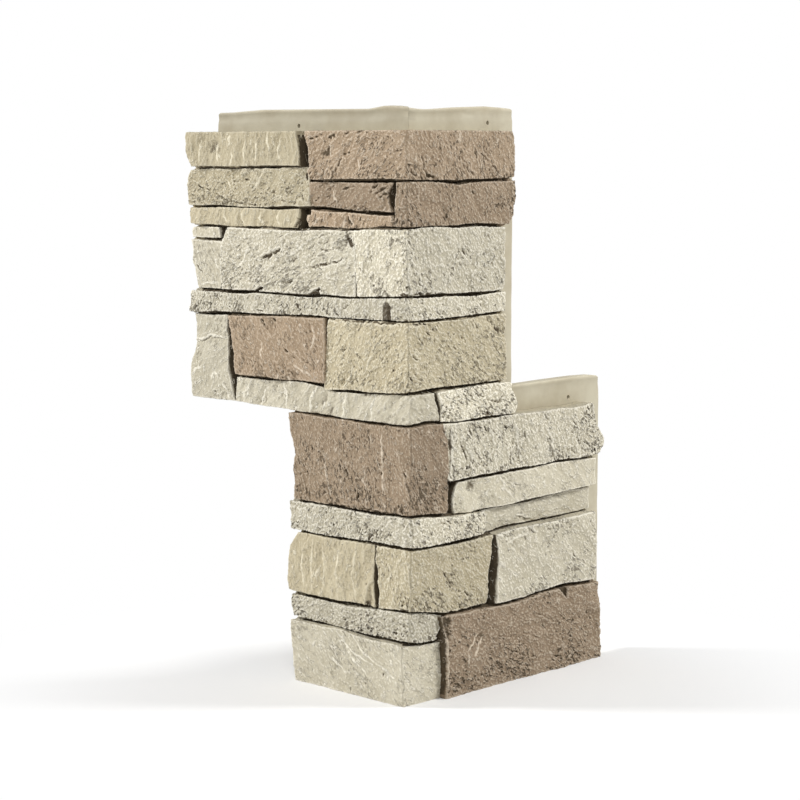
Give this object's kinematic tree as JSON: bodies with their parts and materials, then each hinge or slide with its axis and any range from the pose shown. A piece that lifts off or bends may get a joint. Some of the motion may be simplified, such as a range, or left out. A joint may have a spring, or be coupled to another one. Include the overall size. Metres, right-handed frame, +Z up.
{
  "type": "outside corner wall panel",
  "caption": "Staggered outside-corner wall facing panel moulded as dry-stacked ledge stone, with lap flanges and rebates for the panels beside, above and below it.",
  "frame": {"origin": "inner arris of the corner, where the two back faces meet, at the height of the foot of the stones", "axes": "+Z up; one leg runs along -X with its back face towards +Y and its stones towards -Y, the other leg runs along +Y with its back face towards -X and its stones towards +X"},
  "size_m": [0.3659, 0.349, 0.636],
  "materials": {
    "moulded_stone": "painted matte rigid foam with a dry-brushed stone relief"
  },
  "bodies": {
    "root": {"corner_panel": "moulded_stone"}
  },
  "joints": []
}
